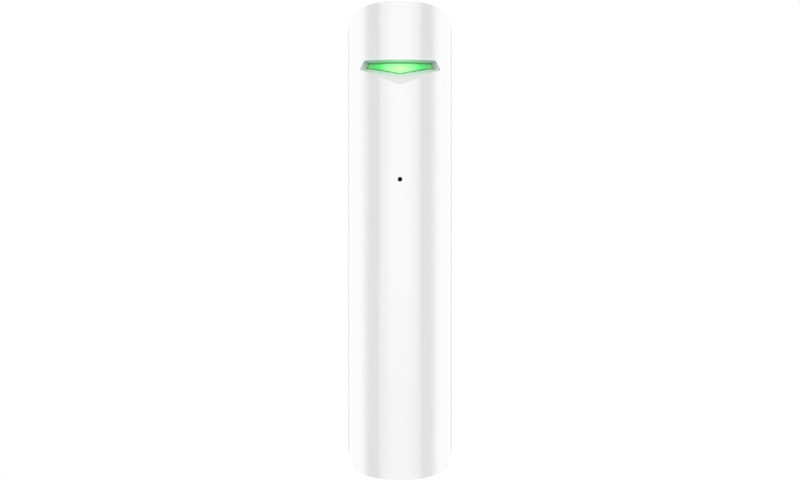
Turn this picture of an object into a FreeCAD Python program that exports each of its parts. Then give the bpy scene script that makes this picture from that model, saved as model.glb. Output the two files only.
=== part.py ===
import FreeCAD, Part
import math
import os

os.makedirs("parts", exist_ok=True)
Vector = FreeCAD.Vector

# The frame: +Z is up, the front faces -Y, the wall is the plane Y = 0, and the origin
# is midway between the two wall screws. Heights are given as distances below the top end.

# Overall form
HEIGHT = 90.0
CELL_RADIUS = 8.4
CELL_SIDE_GAP = 0.3
CELL_REAR_GAP = 0.4
COVER_WALL = 1.0
SEAM_STEP = 0.3
REAR_GAP = 0.3
REAR_WALL = 1.2
INNER_RADIUS = CELL_RADIUS + CELL_SIDE_GAP
COVER_RADIUS = INNER_RADIUS + COVER_WALL
HALF_WIDTH = COVER_RADIUS + SEAM_STEP
AXIS_Y = -(REAR_GAP + REAR_WALL + CELL_REAR_GAP + CELL_RADIUS)
DEPTH = COVER_RADIUS - AXIS_Y
SCREW_SPACING = 20.0
SCREW_BELOW_TOP = 11.2
TOP = SCREW_BELOW_TOP + SCREW_SPACING / 2
BOTTOM = TOP - HEIGHT
MIDDLE = (TOP + BOTTOM) / 2

# Front cover: a half round with a flared edge along the seam
SEAM_Y = -5.7
FLARE_LENGTH = 2.5

# The arched ends, seen from the front, and their rounding towards the wall
ARCH_RADIUS = 36.0
ARCH_SHOULDER_WIDTH = 5.5
ARCH_HALF = HALF_WIDTH - ARCH_SHOULDER_WIDTH
ARCH_SHOULDER_RADIUS = 10.0
ARCH_OVERRUN = 1.5
END_ROUND_HEIGHT = 7.6
END_ROUND_START_Y = -16.0
END_ROUND_OVERRUN = 0.1

# Rear housing walls and the lap joint with the cover
SIDE_TAPER = 2.4
REAR_HALF = HALF_WIDTH - SIDE_TAPER
SIDE_SLANT = SIDE_TAPER / (-REAR_GAP - SEAM_Y)
SIDE_WALL = 1.3
END_WALL = 1.5
REAR_CORNER = 0.8
INNER_CORNER = 0.8
SEAM_END_INSET = 0.2
SEAM_GROOVE = 0.1
LAP_LENGTH = 1.2
LAP_CLEARANCE = 0.08
LAP_COVER_SKIN = 0.55

# Recess in the back that takes the wall bracket
RECESS_LIP = 1.1
RECESS_HALF = REAR_HALF - RECESS_LIP
RECESS_FLOOR_Y = -2.7
RECESS_END = 46.6
RECESS_WIDE_START = 44.0
RECESS_WIDE_STEP = 0.4
RAIL_THICKNESS = 0.8
RAIL_REACH = 1.2
RAIL_ROOT = 0.3
UPPER_RAIL_TOP = 13.8
UPPER_RAIL_END = 18.9
LOWER_RAIL_TOP = 36.4
LOWER_RAIL_END = 40.0

# Wall bracket
RAIL_SIDE_CLEARANCE = 0.25
PLATE_HALF = RECESS_HALF - RAIL_REACH - RAIL_SIDE_CLEARANCE
PLATE_THICKNESS = 2.0
PLATE_EDGE = 0.35
HOOK_CLEARANCE = 0.2
HOOK_SIDE_CLEARANCE = 0.3
UPPER_HOOK_TOP = 16.0
UPPER_HOOK_END = 20.4
LOWER_HOOK_TOP = 36.8
LOWER_HOOK_END = 39.8
SCREW_HOLE_RADIUS = 2.0
SCREW_HEAD_RADIUS = 3.2
SCREW_HEAD_DEPTH = 0.8
PLATE_POCKET_TOP = 15.2
PLATE_POCKET_HALF = 4.25
POCKET_DEPTH = 0.3
PAD_HALF_WIDTH = 3.65
PAD_ABOVE_SCREW = 6.0
PAD_BELOW_SCREW = 3.85
PAD_CORNER = 0.7
PAD_SLIT = 0.55
PAD_RIM = 0.85
PAD_RING_RADIUS = 2.5
BRIDGE_WIDTH = 1.8
SIDE_BRIDGE_WIDTH = 1.2
SIDE_BRIDGE_OFFSET = 3.0
PLATE_END = 37.3
LEG_END = 38.7
LEG_WIDTH = 1.2
LEG_SHOULDER = 0.85

# Status light notch in the cover, and its light guide
NOTCH_TOP = 11.0
NOTCH_TIP = 12.7
NOTCH_VEE = 15.7
NOTCH_TIP_HALF = 7.67
LENS_TOP = 11.65
LENS_SIDE_END = 12.55
LENS_VEE = 13.7
LENS_HALF = 6.0
NOTCH_STATIONS = 4
GUIDE_THICKNESS = 1.0
GUIDE_CLEARANCE = 0.1
GUIDE_MARGIN = 0.9
GUIDE_STEM_HALF = 1.8
GUIDE_STEM_HEIGHT = 1.6

# Microphone
MIC_BELOW_TOP = 33.5
MIC_HOLE_RADIUS = 0.4
CAPSULE_RADIUS = 3.0
CAPSULE_LENGTH = 2.7
BOOT_WALL = 0.9
BOOT_LENGTH = 4.6
BOOT_LIP = 1.0
MIC_BOSS_WALL = 0.8
MIC_BOSS_CLEARANCE = 0.05
MEMBRANE_THICKNESS = 0.25
MEMBRANE_RADIUS = 2.2
MIC_PIN_RADIUS = 0.25
MIC_PIN_OFFSET = 1.27
SOUND_TUNNEL_RADIUS = 1.2

# Circuit board and what stands on it
BOARD_REAR_Y = -8.5
BOARD_THICKNESS = 0.8
BOARD_SIDE_GAP = 0.9
BOARD_HALF = INNER_RADIUS - BOARD_SIDE_GAP
BOARD_TOP = 3.7
BOARD_END = 47.3
BOARD_CORNER = 1.5
BOARD_FRONT_Y = BOARD_REAR_Y - BOARD_THICKNESS
LED_SIZE = (3.2, 1.0, 1.6)
LED_GAP = 0.3
SHIELD_HALF = 5.5
SHIELD_TOP = 17.5
SHIELD_END = 28.0
SHIELD_HEIGHT = 2.5
SHIELD_SHEET = 0.3
CHIP_SIDE = 5.0
CHIP_THICKNESS = 0.9
CHIP_BELOW_TOP = 41.5
ANTENNA_HALF = 3.7
ANTENNA_TOP = 5.0
ANTENNA_WIDTH = 3.0
ANTENNA_HEIGHT = 3.0
ANTENNA_SHEET = 0.4
RESERVOIR_RADIUS = 2.4
RESERVOIR_HEIGHT = 4.0
RESERVOIR_X = -5.0
RESERVOIR_BELOW_TOP = 43.6
CHIP_CAPACITOR_SIZE = (1.6, 0.8, 0.8)
CHIP_CAPACITOR_X = 5.6
CHIP_CAPACITOR_START = 31.0
CHIP_CAPACITOR_PITCH = 2.6
CHIP_CAPACITOR_COUNT = 5

# Board posts and screws
POST_RADIUS = 1.7
POST_X = 5.4
UPPER_POST = 7.0
LOWER_POST = 39.0
BOARD_SCREW_RADIUS = 0.8
BOARD_SCREW_CLEARANCE = 0.1
BOARD_SCREW_HEAD_RADIUS = 1.45
BOARD_SCREW_HEAD = 1.1
BOARD_SCREW_GRIP = 2.5

# Tamper switch
TAMPER_BELOW_TOP = 26.6
TAMPER_RADIUS = 1.3
TAMPER_HOLE_CLEARANCE = 0.2
TAMPER_TIP_GAP = 0.3
TAMPER_FLANGE_RADIUS = 2.1
TAMPER_FLANGE = 0.7
TAMPER_TRAVEL = 0.6
TAMPER_STOP_GAP = 0.2
TAMPER_SWITCH_HALF = 2.1
SIGHT_SLOT_X = -2.2
SIGHT_SLOT_HALF = 0.5
SIGHT_SLOT_HEIGHT = 5.0

# Power switch
WINDOW_LEFT = 2.85
WINDOW_RIGHT = -2.15
WINDOW_TOP = 42.7
WINDOW_END = 46.3
SWITCH_CLEARANCE = 0.3
SWITCH_SINK = 0.5
SWITCH_FOOT_GAP = 0.7
SWITCH_SLOT_MARGIN = 0.7
SWITCH_SLOT_EDGE = 0.5
SWITCH_SLOT_DEPTH = 2.1
SLIDER_WIDTH = 1.2
SLIDER_CLEARANCE = 0.15
SLIDER_SINK = 0.15

# Battery, its contacts and the partition above it
FLOOR_WALL = 1.2
PARTITION = 1.2
PARTITION_FRONT_Y = -12.0
CELL_LENGTH = 33.4
CELL_NUB_RADIUS = 3.0
CELL_NUB = 0.8
CELL_EDGE = 0.8
CELL_BELOW_PARTITION = 1.1
CONTACT_SHEET = 0.3
CONTACT_HALF = 3.0
MINUS_CONTACT_RISE = 0.85
CRADLE_RIB = 1.0
CRADLE_CLEARANCE = 0.15
CRADLE_REACH_Y = -5.5
CRADLE_FROM_TOP = (57.0, 78.0)

# Small marks on the housing
NUB_X = -5.35
NUB_BELOW_TOP = 40.2
NUB_RADIUS = 1.1
NUB_HEIGHT = 0.45
NUB_EDGE = 0.2
DIMPLE_BELOW_TOP = 20.3
DIMPLE_Y = -2.6
DIMPLE_RADIUS = 0.35
DIMPLE_DEPTH = 0.3
LABEL_TOP = 67.6
LABEL_HEIGHT = 12.6
LABEL_MARGIN = 0.5
LABEL_HALF = REAR_HALF - REAR_CORNER - LABEL_MARGIN
LABEL_THICKNESS = 0.15

# Values worked out from the sizes above
REAR_Y = -REAR_GAP
FLOOR_INNER_Y = RECESS_FLOOR_Y - FLOOR_WALL
PARTITION_TOP = RECESS_END + FLOOR_WALL
PARTITION_END = PARTITION_TOP + PARTITION
CELL_TOP = PARTITION_END + CELL_BELOW_PARTITION + CELL_NUB
RAIL_FRONT_Y = REAR_Y - RAIL_THICKNESS
LONG = 2 * HEIGHT


def box(x0, x1, y0, y1, z0, z1):
    return Part.makeBox(x1 - x0, y1 - y0, z1 - z0, Vector(x0, y0, z0))


def rod_y(x, z, radius, y0, y1):
    return Part.makeCylinder(radius, y1 - y0, Vector(x, y0, z), Vector(0, 1, 0))


def wire_of(points):
    return Part.makePolygon(points + [points[0]])


# A flat outline in the XZ plane, pushed through from y0 to y1
def plate_xz(outline, y0, y1):
    face = Part.Face(wire_of([Vector(x, y0, z) for x, z in outline]))
    return face.extrude(Vector(0, y1 - y0, 0))


# A flat outline in the YZ plane, pushed through from x0 to x1
def bar_yz(outline, x0, x1):
    face = Part.Face(wire_of([Vector(x0, y, z) for y, z in outline]))
    return face.extrude(Vector(x1 - x0, 0, 0))


# A box whose four edges along Y are rounded
def rounded_block(x0, x1, y0, y1, z0, z1, radius):
    block = box(x0, x1, y0, y1, z0, z1)
    edges = [e for e in block.Edges if abs(e.tangentAt(e.FirstParameter).y) > 0.99]
    return block.makeFillet(radius, edges)


# The cross-section: flat towards the wall, slanted sides, a flare at the seam, a half round in front
def section_solid(half, radius, rear_y, corner):
    outward = Vector(1, 0, 0)
    forward = Vector(SIDE_SLANT, -1, 0).normalize()
    turned = outward.getAngle(forward) / 2
    meeting = Vector(half - SIDE_SLANT * (rear_y - SEAM_Y), rear_y, 0)
    bisector = (forward - outward).normalize()
    seam = Vector(half, SEAM_Y, 0)
    flare = Vector(radius, SEAM_Y - FLARE_LENGTH, 0)
    turn = Vector(radius, AXIS_Y, 0)
    apex = Vector(0, AXIS_Y - radius, 0)
    corner_mid = meeting + bisector * (corner * (1 / math.cos(turned) - 1))
    back = meeting - outward * (corner * math.tan(turned))
    side = meeting + forward * (corner * math.tan(turned))

    def left(point):
        return Vector(-point.x, point.y, 0)

    edges = [
        Part.LineSegment(left(back), back).toShape(),
        Part.Arc(back, corner_mid, side).toShape(),
        Part.LineSegment(side, seam).toShape(),
        Part.LineSegment(seam, flare).toShape(),
        Part.LineSegment(flare, turn).toShape(),
        Part.Arc(turn, apex, left(turn)).toShape(),
        Part.LineSegment(left(turn), left(flare)).toShape(),
        Part.LineSegment(left(flare), left(seam)).toShape(),
        Part.LineSegment(left(seam), left(side)).toShape(),
        Part.Arc(left(side), left(corner_mid), left(back)).toShape(),
    ]
    face = Part.Face(Part.Wire(edges))
    face.translate(Vector(0, 0, MIDDLE - HEIGHT))
    return face.extrude(Vector(0, 0, 2 * HEIGHT))


# The arch that both ends follow, seen from the front: a flat arc with a tighter arc on each side
def arch_wire():
    reach = HALF_WIDTH + ARCH_OVERRUN
    slope = math.asin(ARCH_HALF / ARCH_RADIUS)
    drop = ARCH_RADIUS * (1 - math.cos(slope))
    centre_x = ARCH_HALF - ARCH_SHOULDER_RADIUS * math.sin(slope)
    centre_z = -drop - ARCH_SHOULDER_RADIUS * math.cos(slope)
    end_angle = math.acos((reach - centre_x) / ARCH_SHOULDER_RADIUS)
    mid_angle = (end_angle + math.pi / 2 - slope) / 2

    def shoulder(angle, sign):
        x = centre_x + ARCH_SHOULDER_RADIUS * math.cos(angle)
        return Vector(sign * x, 0, centre_z + ARCH_SHOULDER_RADIUS * math.sin(angle))

    left = Vector(-ARCH_HALF, 0, -drop)
    right = Vector(ARCH_HALF, 0, -drop)
    edges = [
        Part.Arc(shoulder(end_angle, -1), shoulder(mid_angle, -1), left).toShape(),
        Part.Arc(left, Vector(0, 0, 0), right).toShape(),
        Part.Arc(right, shoulder(mid_angle, 1), shoulder(end_angle, 1)).toShape(),
    ]
    return Part.Wire(edges)


# Carry a side outline along the arch without turning it, for the top end
def carried_along_arch(outline):
    arch = arch_wire()
    start = arch.OrderedVertexes[0].Point
    section = outline.translated(start)
    pipe = Part.BRepOffsetAPI.MakePipeShell(arch)
    pipe.setTrihedronMode(start, Vector(1, 0, 0))
    pipe.add(section)
    pipe.build()
    pipe.makeSolid()
    return pipe.shape()


# Keep what lies inside the carried outline at the top end and, mirrored, at the bottom end
def between_ends(solid, tool):
    mirrored = tool.mirror(Vector(0, 0, MIDDLE), Vector(0, 0, 1))
    return solid.common(tool).common(mirrored)


# Side outline of an end: level in front, then an ellipse that meets the back at a slight angle
def end_tool(inset, back_y):
    top = TOP - inset
    rear_y = back_y + END_ROUND_OVERRUN
    height = END_ROUND_HEIGHT - inset
    length = rear_y - END_ROUND_START_Y
    centre = Vector(0, END_ROUND_START_Y, top - height)
    if length > height:
        ellipse = Part.Ellipse(centre + Vector(0, length, 0), centre + Vector(0, 0, height), centre)
        curve = Part.ArcOfEllipse(ellipse, 0, math.pi / 2)
    else:
        ellipse = Part.Ellipse(centre + Vector(0, 0, height), centre + Vector(0, -length, 0), centre)
        curve = Part.ArcOfEllipse(ellipse, -math.pi / 2, 0)
    ends = [Vector(0, rear_y, top - height), Vector(0, END_ROUND_START_Y, top)]
    front = -DEPTH - HALF_WIDTH
    floor = BOTTOM - HEIGHT
    edges = [
        curve.toShape(),
        Part.LineSegment(ends[1], Vector(0, front, top)).toShape(),
        Part.LineSegment(Vector(0, front, top), Vector(0, front, floor)).toShape(),
        Part.LineSegment(Vector(0, front, floor), Vector(0, rear_y, floor)).toShape(),
        Part.LineSegment(Vector(0, rear_y, floor), ends[0]).toShape(),
    ]
    return carried_along_arch(Part.Wire(edges))


# All that is in front of a plane along the wall
def in_front_of(y):
    return box(-LONG, LONG, -LONG, y, BOTTOM - HEIGHT / 2, TOP + HEIGHT / 2)


# The room inside the lap joint: a given length in from the seam and from both ends
def lap_limit(length):
    return between_ends(in_front_of(SEAM_Y - length), end_tool(SEAM_END_INSET + length, REAR_Y))


def outer_form():
    return between_ends(
        section_solid(HALF_WIDTH, COVER_RADIUS, REAR_Y, REAR_CORNER), end_tool(0, REAR_Y)
    )


def inner_section():
    return section_solid(HALF_WIDTH - SIDE_WALL, INNER_RADIUS, REAR_Y - REAR_WALL, INNER_CORNER)


# The layer boundary inside the wall, where the cover laps over the housing's tongue
def lap_section(clearance):
    half = HALF_WIDTH - SIDE_WALL / 2 - clearance
    radius = COVER_RADIUS - LAP_COVER_SKIN - clearance
    return section_solid(half, radius, REAR_Y - REAR_WALL / 2, INNER_CORNER)


# A wedge that narrows inwards, ruled between sections that stand in planes through the cover's axis
def notch_cutter():
    tip_angle = math.asin(NOTCH_TIP_HALF / COVER_RADIUS)
    lens_angle = math.asin(LENS_HALF / INNER_RADIUS)
    outer = COVER_RADIUS + COVER_WALL
    inner = INNER_RADIUS - COVER_WALL / 2
    steps = [i * lens_angle / NOTCH_STATIONS for i in range(-NOTCH_STATIONS, NOTCH_STATIONS + 1)]

    def edge(rho, at_cover, at_lens):
        return at_lens + (at_cover - at_lens) * (rho - INNER_RADIUS) / COVER_WALL

    def station(angle):
        share_out = abs(math.sin(angle)) * COVER_RADIUS / NOTCH_TIP_HALF
        share_in = abs(math.sin(angle)) * INNER_RADIUS / LENS_HALF
        low_cover = TOP - NOTCH_VEE + (NOTCH_VEE - NOTCH_TIP) * share_out
        low_lens = TOP - LENS_VEE + (LENS_VEE - LENS_SIDE_END) * share_in
        high = [edge(rho, TOP - NOTCH_TOP, TOP - LENS_TOP) for rho in (outer, inner)]
        low = [edge(rho, low_cover, low_lens) for rho in (inner, outer)]
        return radial_wire(angle, [outer, inner, inner, outer], high + low)

    def tip(sign):
        z = TOP - NOTCH_TIP
        hair = COVER_WALL / 50
        flare = COVER_WALL / 2
        rhos = [outer, COVER_RADIUS - hair, COVER_RADIUS - hair, outer]
        return radial_wire(sign * tip_angle, rhos, [z + flare, z + hair, z - hair, z - flare])

    wires = [tip(-1)] + [station(angle) for angle in steps] + [tip(1)]
    return Part.makeLoft(wires, True, True)


def radial_wire(angle, rhos, heights):
    points = []
    for rho, z in zip(rhos, heights):
        points.append(Vector(rho * math.sin(angle), AXIS_Y - rho * math.cos(angle), z))
    return wire_of(points)


# A round boss behind the sound hole that grips the rubber boot
def microphone_boss():
    z = TOP - MIC_BELOW_TOP
    bore = CAPSULE_RADIUS + BOOT_WALL + MIC_BOSS_CLEARANCE
    rear = -DEPTH + COVER_WALL + BOOT_LENGTH * 0.9
    boss = rod_y(0, z, bore + MIC_BOSS_WALL, -DEPTH, rear)
    bored = boss.cut(rod_y(0, z, bore, -DEPTH, rear))
    cover_round = Part.makeCylinder(COVER_RADIUS - COVER_WALL / 2, LONG, Vector(0, AXIS_Y, MIDDLE - HEIGHT))
    return bored.common(cover_round)


def front_cover():
    shell = outer_form().common(in_front_of(SEAM_Y)).cut(inner_section())
    shell = shell.cut(lap_section(0).cut(lap_limit(LAP_LENGTH)))
    shell = shell.fuse(microphone_boss())
    shell = shell.cut(notch_cutter())
    shell = shell.cut(rod_y(0, TOP - MIC_BELOW_TOP, MIC_HOLE_RADIUS, -DEPTH - 1, -DEPTH + 2 * COVER_WALL))
    return shell.removeSplitter()


# The space inside the housing: behind the board above the partition, round the cell below it
def housing_cavity():
    cavity = between_ends(inner_section(), end_tool(END_WALL, REAR_Y - REAR_WALL))
    behind = box(-HALF_WIDTH, HALF_WIDTH, FLOOR_INNER_Y, 0, TOP - PARTITION_TOP, TOP)
    return cavity.cut(behind)


def partition():
    z0 = TOP - PARTITION_END
    z1 = TOP - PARTITION_TOP
    front = INNER_RADIUS - 2 * GUIDE_CLEARANCE
    shelf = box(-front, front, PARTITION_FRONT_Y, REAR_Y, z0, z1)
    joined = INNER_RADIUS + LAP_CLEARANCE
    shelf = shelf.fuse(box(-joined, joined, SEAM_Y + LAP_CLEARANCE, REAR_Y, z0, z1))
    return shelf.common(lap_section(0))


def cradle_rib(below_top):
    z0 = TOP - below_top - CRADLE_RIB
    rib = box(-HALF_WIDTH, HALF_WIDTH, CRADLE_REACH_Y, REAR_Y, z0, z0 + CRADLE_RIB)
    room = Part.makeCylinder(CELL_RADIUS + CRADLE_CLEARANCE, LONG, Vector(0, AXIS_Y, MIDDLE - HEIGHT))
    return rib.common(lap_section(0)).cut(room)


def board_post(x, below_top, bored):
    z = TOP - below_top
    post = rod_y(x, z, POST_RADIUS, BOARD_REAR_Y, FLOOR_INNER_Y + FLOOR_WALL / 2)
    if bored:
        post = post.cut(rod_y(x, z, BOARD_SCREW_RADIUS, BOARD_REAR_Y, BOARD_REAR_Y + BOARD_SCREW_GRIP))
    return post


# The rails that the bracket's hooks slide behind
def rails():
    inner = RECESS_HALF - RAIL_REACH
    outer = RECESS_HALF + RAIL_ROOT
    solids = []
    for top, end in ((UPPER_RAIL_TOP, UPPER_RAIL_END), (LOWER_RAIL_TOP, LOWER_RAIL_END)):
        solids.append(box(inner, outer, RAIL_FRONT_Y, REAR_Y, TOP - end, TOP - top))
        solids.append(box(-outer, -inner, RAIL_FRONT_Y, REAR_Y, TOP - end, TOP - top))
    return solids


def bracket_recess():
    z0 = TOP - RECESS_END
    wide = RECESS_HALF + RECESS_WIDE_STEP
    recess = box(-RECESS_HALF, RECESS_HALF, RECESS_FLOOR_Y, 1, z0, TOP + 1)
    return recess.fuse(box(-wide, wide, RECESS_FLOOR_Y, 1, z0, TOP - RECESS_WIDE_START))


# A low round boss on the recess floor that steadies the bracket's leg
def floor_nub():
    base = RECESS_FLOOR_Y - FLOOR_WALL / 2
    nub = rod_y(NUB_X, TOP - NUB_BELOW_TOP, NUB_RADIUS, base, RECESS_FLOOR_Y + NUB_HEIGHT)
    rim = [e for e in nub.Edges if e.BoundBox.YMin > RECESS_FLOOR_Y and e.Closed]
    return nub.makeFillet(NUB_EDGE, rim)


def rear_housing():
    outer = outer_form().cut(in_front_of(SEAM_Y + SEAM_GROOVE))
    tongue = between_ends(lap_section(LAP_CLEARANCE), end_tool(SEAM_END_INSET, REAR_Y))
    tongue = tongue.cut(lap_limit(LAP_LENGTH - LAP_CLEARANCE))
    housing = outer.fuse(tongue).cut(housing_cavity())
    housing = housing.fuse([partition()] + [cradle_rib(d) for d in CRADLE_FROM_TOP])
    for x in (-POST_X, POST_X):
        housing = housing.fuse(board_post(x, UPPER_POST, x > 0))
        housing = housing.fuse(board_post(x, LOWER_POST, x < 0))
    housing = housing.cut(bracket_recess()).fuse(rails()).fuse(floor_nub())
    z = TOP - TAMPER_BELOW_TOP
    hole = TAMPER_RADIUS + TAMPER_HOLE_CLEARANCE
    housing = housing.cut(rod_y(0, z, hole, FLOOR_INNER_Y - 1, RECESS_FLOOR_Y + 1))
    sight = TOP - SCREW_BELOW_TOP - SCREW_SPACING
    half = SIGHT_SLOT_HEIGHT / 2
    slot = rounded_block(
        SIGHT_SLOT_X - SIGHT_SLOT_HALF, SIGHT_SLOT_X + SIGHT_SLOT_HALF, FLOOR_INNER_Y - 1,
        RECESS_FLOOR_Y + 1, sight - half, sight + half, SIGHT_SLOT_HALF * 0.9,
    )
    housing = housing.cut(slot)
    window = box(
        WINDOW_RIGHT, WINDOW_LEFT, FLOOR_INNER_Y - 1, RECESS_FLOOR_Y + 1,
        TOP - WINDOW_END, TOP - WINDOW_TOP,
    )
    housing = housing.cut(window)
    label = box(
        -LABEL_HALF, LABEL_HALF, REAR_Y - LABEL_THICKNESS, 1,
        TOP - LABEL_TOP - LABEL_HEIGHT, TOP - LABEL_TOP,
    )
    housing = housing.cut(label)
    outward = Vector(1, SIDE_SLANT, 0).normalize()
    surface = Vector(HALF_WIDTH - SIDE_SLANT * (DIMPLE_Y - SEAM_Y), DIMPLE_Y, TOP - DIMPLE_BELOW_TOP)
    dimple = Part.makeCylinder(DIMPLE_RADIUS, 2 * DIMPLE_DEPTH, surface - outward * DIMPLE_DEPTH, outward)
    return housing.cut(dimple).removeSplitter()


# The break-off pad: a frame of slits round it, cut through, with thin bridges left between them
def pad_slits():
    screw = TOP - SCREW_BELOW_TOP - SCREW_SPACING
    half = PAD_HALF_WIDTH
    low = screw - PAD_BELOW_SCREW
    high = screw + PAD_ABOVE_SCREW
    outer = rounded_block(
        -half - PAD_SLIT, half + PAD_SLIT, -PLATE_THICKNESS, 0, low - PAD_SLIT, high + PAD_SLIT,
        PAD_CORNER + PAD_SLIT,
    )
    ring = outer.cut(rounded_block(-half, half, -PLATE_THICKNESS, 0, low, high, PAD_CORNER))
    bridge = box(-BRIDGE_WIDTH / 2, BRIDGE_WIDTH / 2, -PLATE_THICKNESS, 0, low - 1, high + 1)
    slits = ring.cut(bridge)
    middle = (low + high) / 2
    for z in (middle - SIDE_BRIDGE_OFFSET, middle + SIDE_BRIDGE_OFFSET):
        side = SIDE_BRIDGE_WIDTH / 2
        slits = slits.cut(box(-half - 1, half + 1, -PLATE_THICKNESS, 0, z - side, z + side))
    return slits


def wall_bracket():
    top_z = TOP - PLATE_END
    leg_z = TOP - LEG_END
    leg_inner = PLATE_HALF - LEG_WIDTH
    outline = [
        (-PLATE_HALF, leg_z), (-leg_inner, leg_z),
        (-leg_inner + LEG_SHOULDER, top_z), (leg_inner - LEG_SHOULDER, top_z),
        (leg_inner, leg_z), (PLATE_HALF, leg_z),
        (PLATE_HALF, TOP + 1), (-PLATE_HALF, TOP + 1),
    ]
    rim = PLATE_HALF - PLATE_EDGE
    profile = [
        (-PLATE_HALF, -PLATE_THICKNESS), (-PLATE_HALF, -PLATE_EDGE), (-rim, 0),
        (rim, 0), (PLATE_HALF, -PLATE_EDGE), (PLATE_HALF, -PLATE_THICKNESS),
    ]
    bar = Part.Face(wire_of([Vector(x, y, BOTTOM) for x, y in profile])).extrude(Vector(0, 0, LONG))
    plate = plate_xz(outline, -PLATE_THICKNESS, 0).common(bar).common(end_tool(0, 0))
    hook_outer = RECESS_HALF - HOOK_SIDE_CLEARANCE
    hook_rear = RAIL_FRONT_Y - HOOK_CLEARANCE
    for top, end in ((UPPER_HOOK_TOP, UPPER_HOOK_END), (LOWER_HOOK_TOP, LOWER_HOOK_END)):
        plate = plate.fuse(hook_pair(hook_outer, hook_rear, TOP - end, TOP - top))
    upper = TOP - SCREW_BELOW_TOP
    lower = upper - SCREW_SPACING
    pad_low = lower - PAD_BELOW_SCREW
    pad_high = lower + PAD_ABOVE_SCREW
    pocket = box(
        -PLATE_POCKET_HALF, PLATE_POCKET_HALF, -POCKET_DEPTH, 1,
        pad_high + PAD_SLIT + PAD_RIM / 2, TOP - PLATE_POCKET_TOP,
    )
    plate = plate.cut(pocket)
    sunk = PAD_HALF_WIDTH - PAD_RIM
    inset = box(-sunk, sunk, -POCKET_DEPTH, 1, pad_low + PAD_RIM, pad_high - PAD_RIM)
    plate = plate.cut(inset.cut(rod_y(0, lower, PAD_RING_RADIUS, -POCKET_DEPTH, 1)))
    plate = plate.cut(pad_slits())
    for z in (upper, lower):
        plate = plate.cut(rod_y(0, z, SCREW_HOLE_RADIUS, -PLATE_THICKNESS - 1, 1))
        head_floor = -PLATE_THICKNESS + SCREW_HEAD_DEPTH
        plate = plate.cut(rod_y(0, z, SCREW_HEAD_RADIUS, -PLATE_THICKNESS - 1, head_floor))
    return plate.removeSplitter()


# A hook on each side of the plate, in its front layer
def hook_pair(outer, rear_y, z0, z1):
    inner = PLATE_HALF - LEG_WIDTH
    right = box(inner, outer, -PLATE_THICKNESS, rear_y, z0, z1)
    left = box(-outer, -inner, -PLATE_THICKNESS, rear_y, z0, z1)
    return [right, left]


# A curved lens band behind the notch, with a stem that gathers the light at the board
def light_guide():
    z0 = TOP - LENS_VEE - GUIDE_MARGIN
    z1 = TOP - LENS_TOP + GUIDE_MARGIN
    outer = INNER_RADIUS - GUIDE_CLEARANCE
    centre = Vector(0, AXIS_Y, z0)
    band = Part.makeCylinder(outer, z1 - z0, centre)
    band = band.cut(Part.makeCylinder(outer - GUIDE_THICKNESS, z1 - z0, centre))
    half = LENS_HALF + GUIDE_MARGIN
    band = band.common(box(-half, half, -DEPTH, AXIS_Y, z0, z1))
    led_face = BOARD_FRONT_Y - LED_SIZE[1] - LED_GAP
    mid = (z0 + z1) / 2
    stem = box(
        -GUIDE_STEM_HALF, GUIDE_STEM_HALF, AXIS_Y - outer + GUIDE_THICKNESS / 2, led_face,
        mid - GUIDE_STEM_HEIGHT / 2, mid + GUIDE_STEM_HEIGHT / 2,
    )
    return band.fuse(stem).removeSplitter()


def circuit_board():
    board = rounded_block(
        -BOARD_HALF, BOARD_HALF, BOARD_FRONT_Y, BOARD_REAR_Y, TOP - BOARD_END, TOP - BOARD_TOP, BOARD_CORNER
    )
    hole = BOARD_SCREW_RADIUS + BOARD_SCREW_CLEARANCE
    for x, z in screw_places():
        board = board.cut(rod_y(x, z, hole, BOARD_FRONT_Y - 1, BOARD_REAR_Y + 1))
    return board


def screw_places():
    return [(POST_X, TOP - UPPER_POST), (-POST_X, TOP - LOWER_POST)]


def board_screws():
    screws = []
    for x, z in screw_places():
        head = rod_y(x, z, BOARD_SCREW_HEAD_RADIUS, BOARD_FRONT_Y - BOARD_SCREW_HEAD, BOARD_FRONT_Y)
        reach = BOARD_REAR_Y + BOARD_SCREW_GRIP
        screws.append(head.fuse(rod_y(x, z, BOARD_SCREW_RADIUS, BOARD_FRONT_Y, reach)).removeSplitter())
    return Part.makeCompound(screws)


def status_led():
    z = TOP - (LENS_VEE + LENS_TOP) / 2
    half_x = LED_SIZE[0] / 2
    half_z = LED_SIZE[2] / 2
    return box(-half_x, half_x, BOARD_FRONT_Y - LED_SIZE[1], BOARD_FRONT_Y, z - half_z, z + half_z)


def capsule_front_y():
    return -DEPTH + COVER_WALL + BOOT_LIP + MEMBRANE_THICKNESS


def microphone_capsule():
    front = capsule_front_y()
    return rod_y(0, TOP - MIC_BELOW_TOP, CAPSULE_RADIUS, front, front + CAPSULE_LENGTH)


# A rubber cup round the capsule, its front shaped to the inside of the cover
def microphone_boot():
    z = TOP - MIC_BELOW_TOP
    front = -DEPTH
    rear = -DEPTH + COVER_WALL + BOOT_LENGTH
    boot = rod_y(0, z, CAPSULE_RADIUS + BOOT_WALL, front, rear)
    boot = boot.cut(rod_y(0, z, CAPSULE_RADIUS, capsule_front_y(), rear + 1))
    boot = boot.cut(rod_y(0, z, SOUND_TUNNEL_RADIUS, front - 1, rear))
    membrane_front = capsule_front_y() - MEMBRANE_THICKNESS
    boot = boot.cut(rod_y(0, z, MEMBRANE_RADIUS, membrane_front, capsule_front_y()))
    room = Part.makeCylinder(INNER_RADIUS - GUIDE_CLEARANCE, LONG, Vector(0, AXIS_Y, MIDDLE - HEIGHT))
    return boot.common(room)


def sound_membrane():
    front = capsule_front_y() - MEMBRANE_THICKNESS
    return rod_y(0, TOP - MIC_BELOW_TOP, MEMBRANE_RADIUS, front, capsule_front_y())


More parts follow.
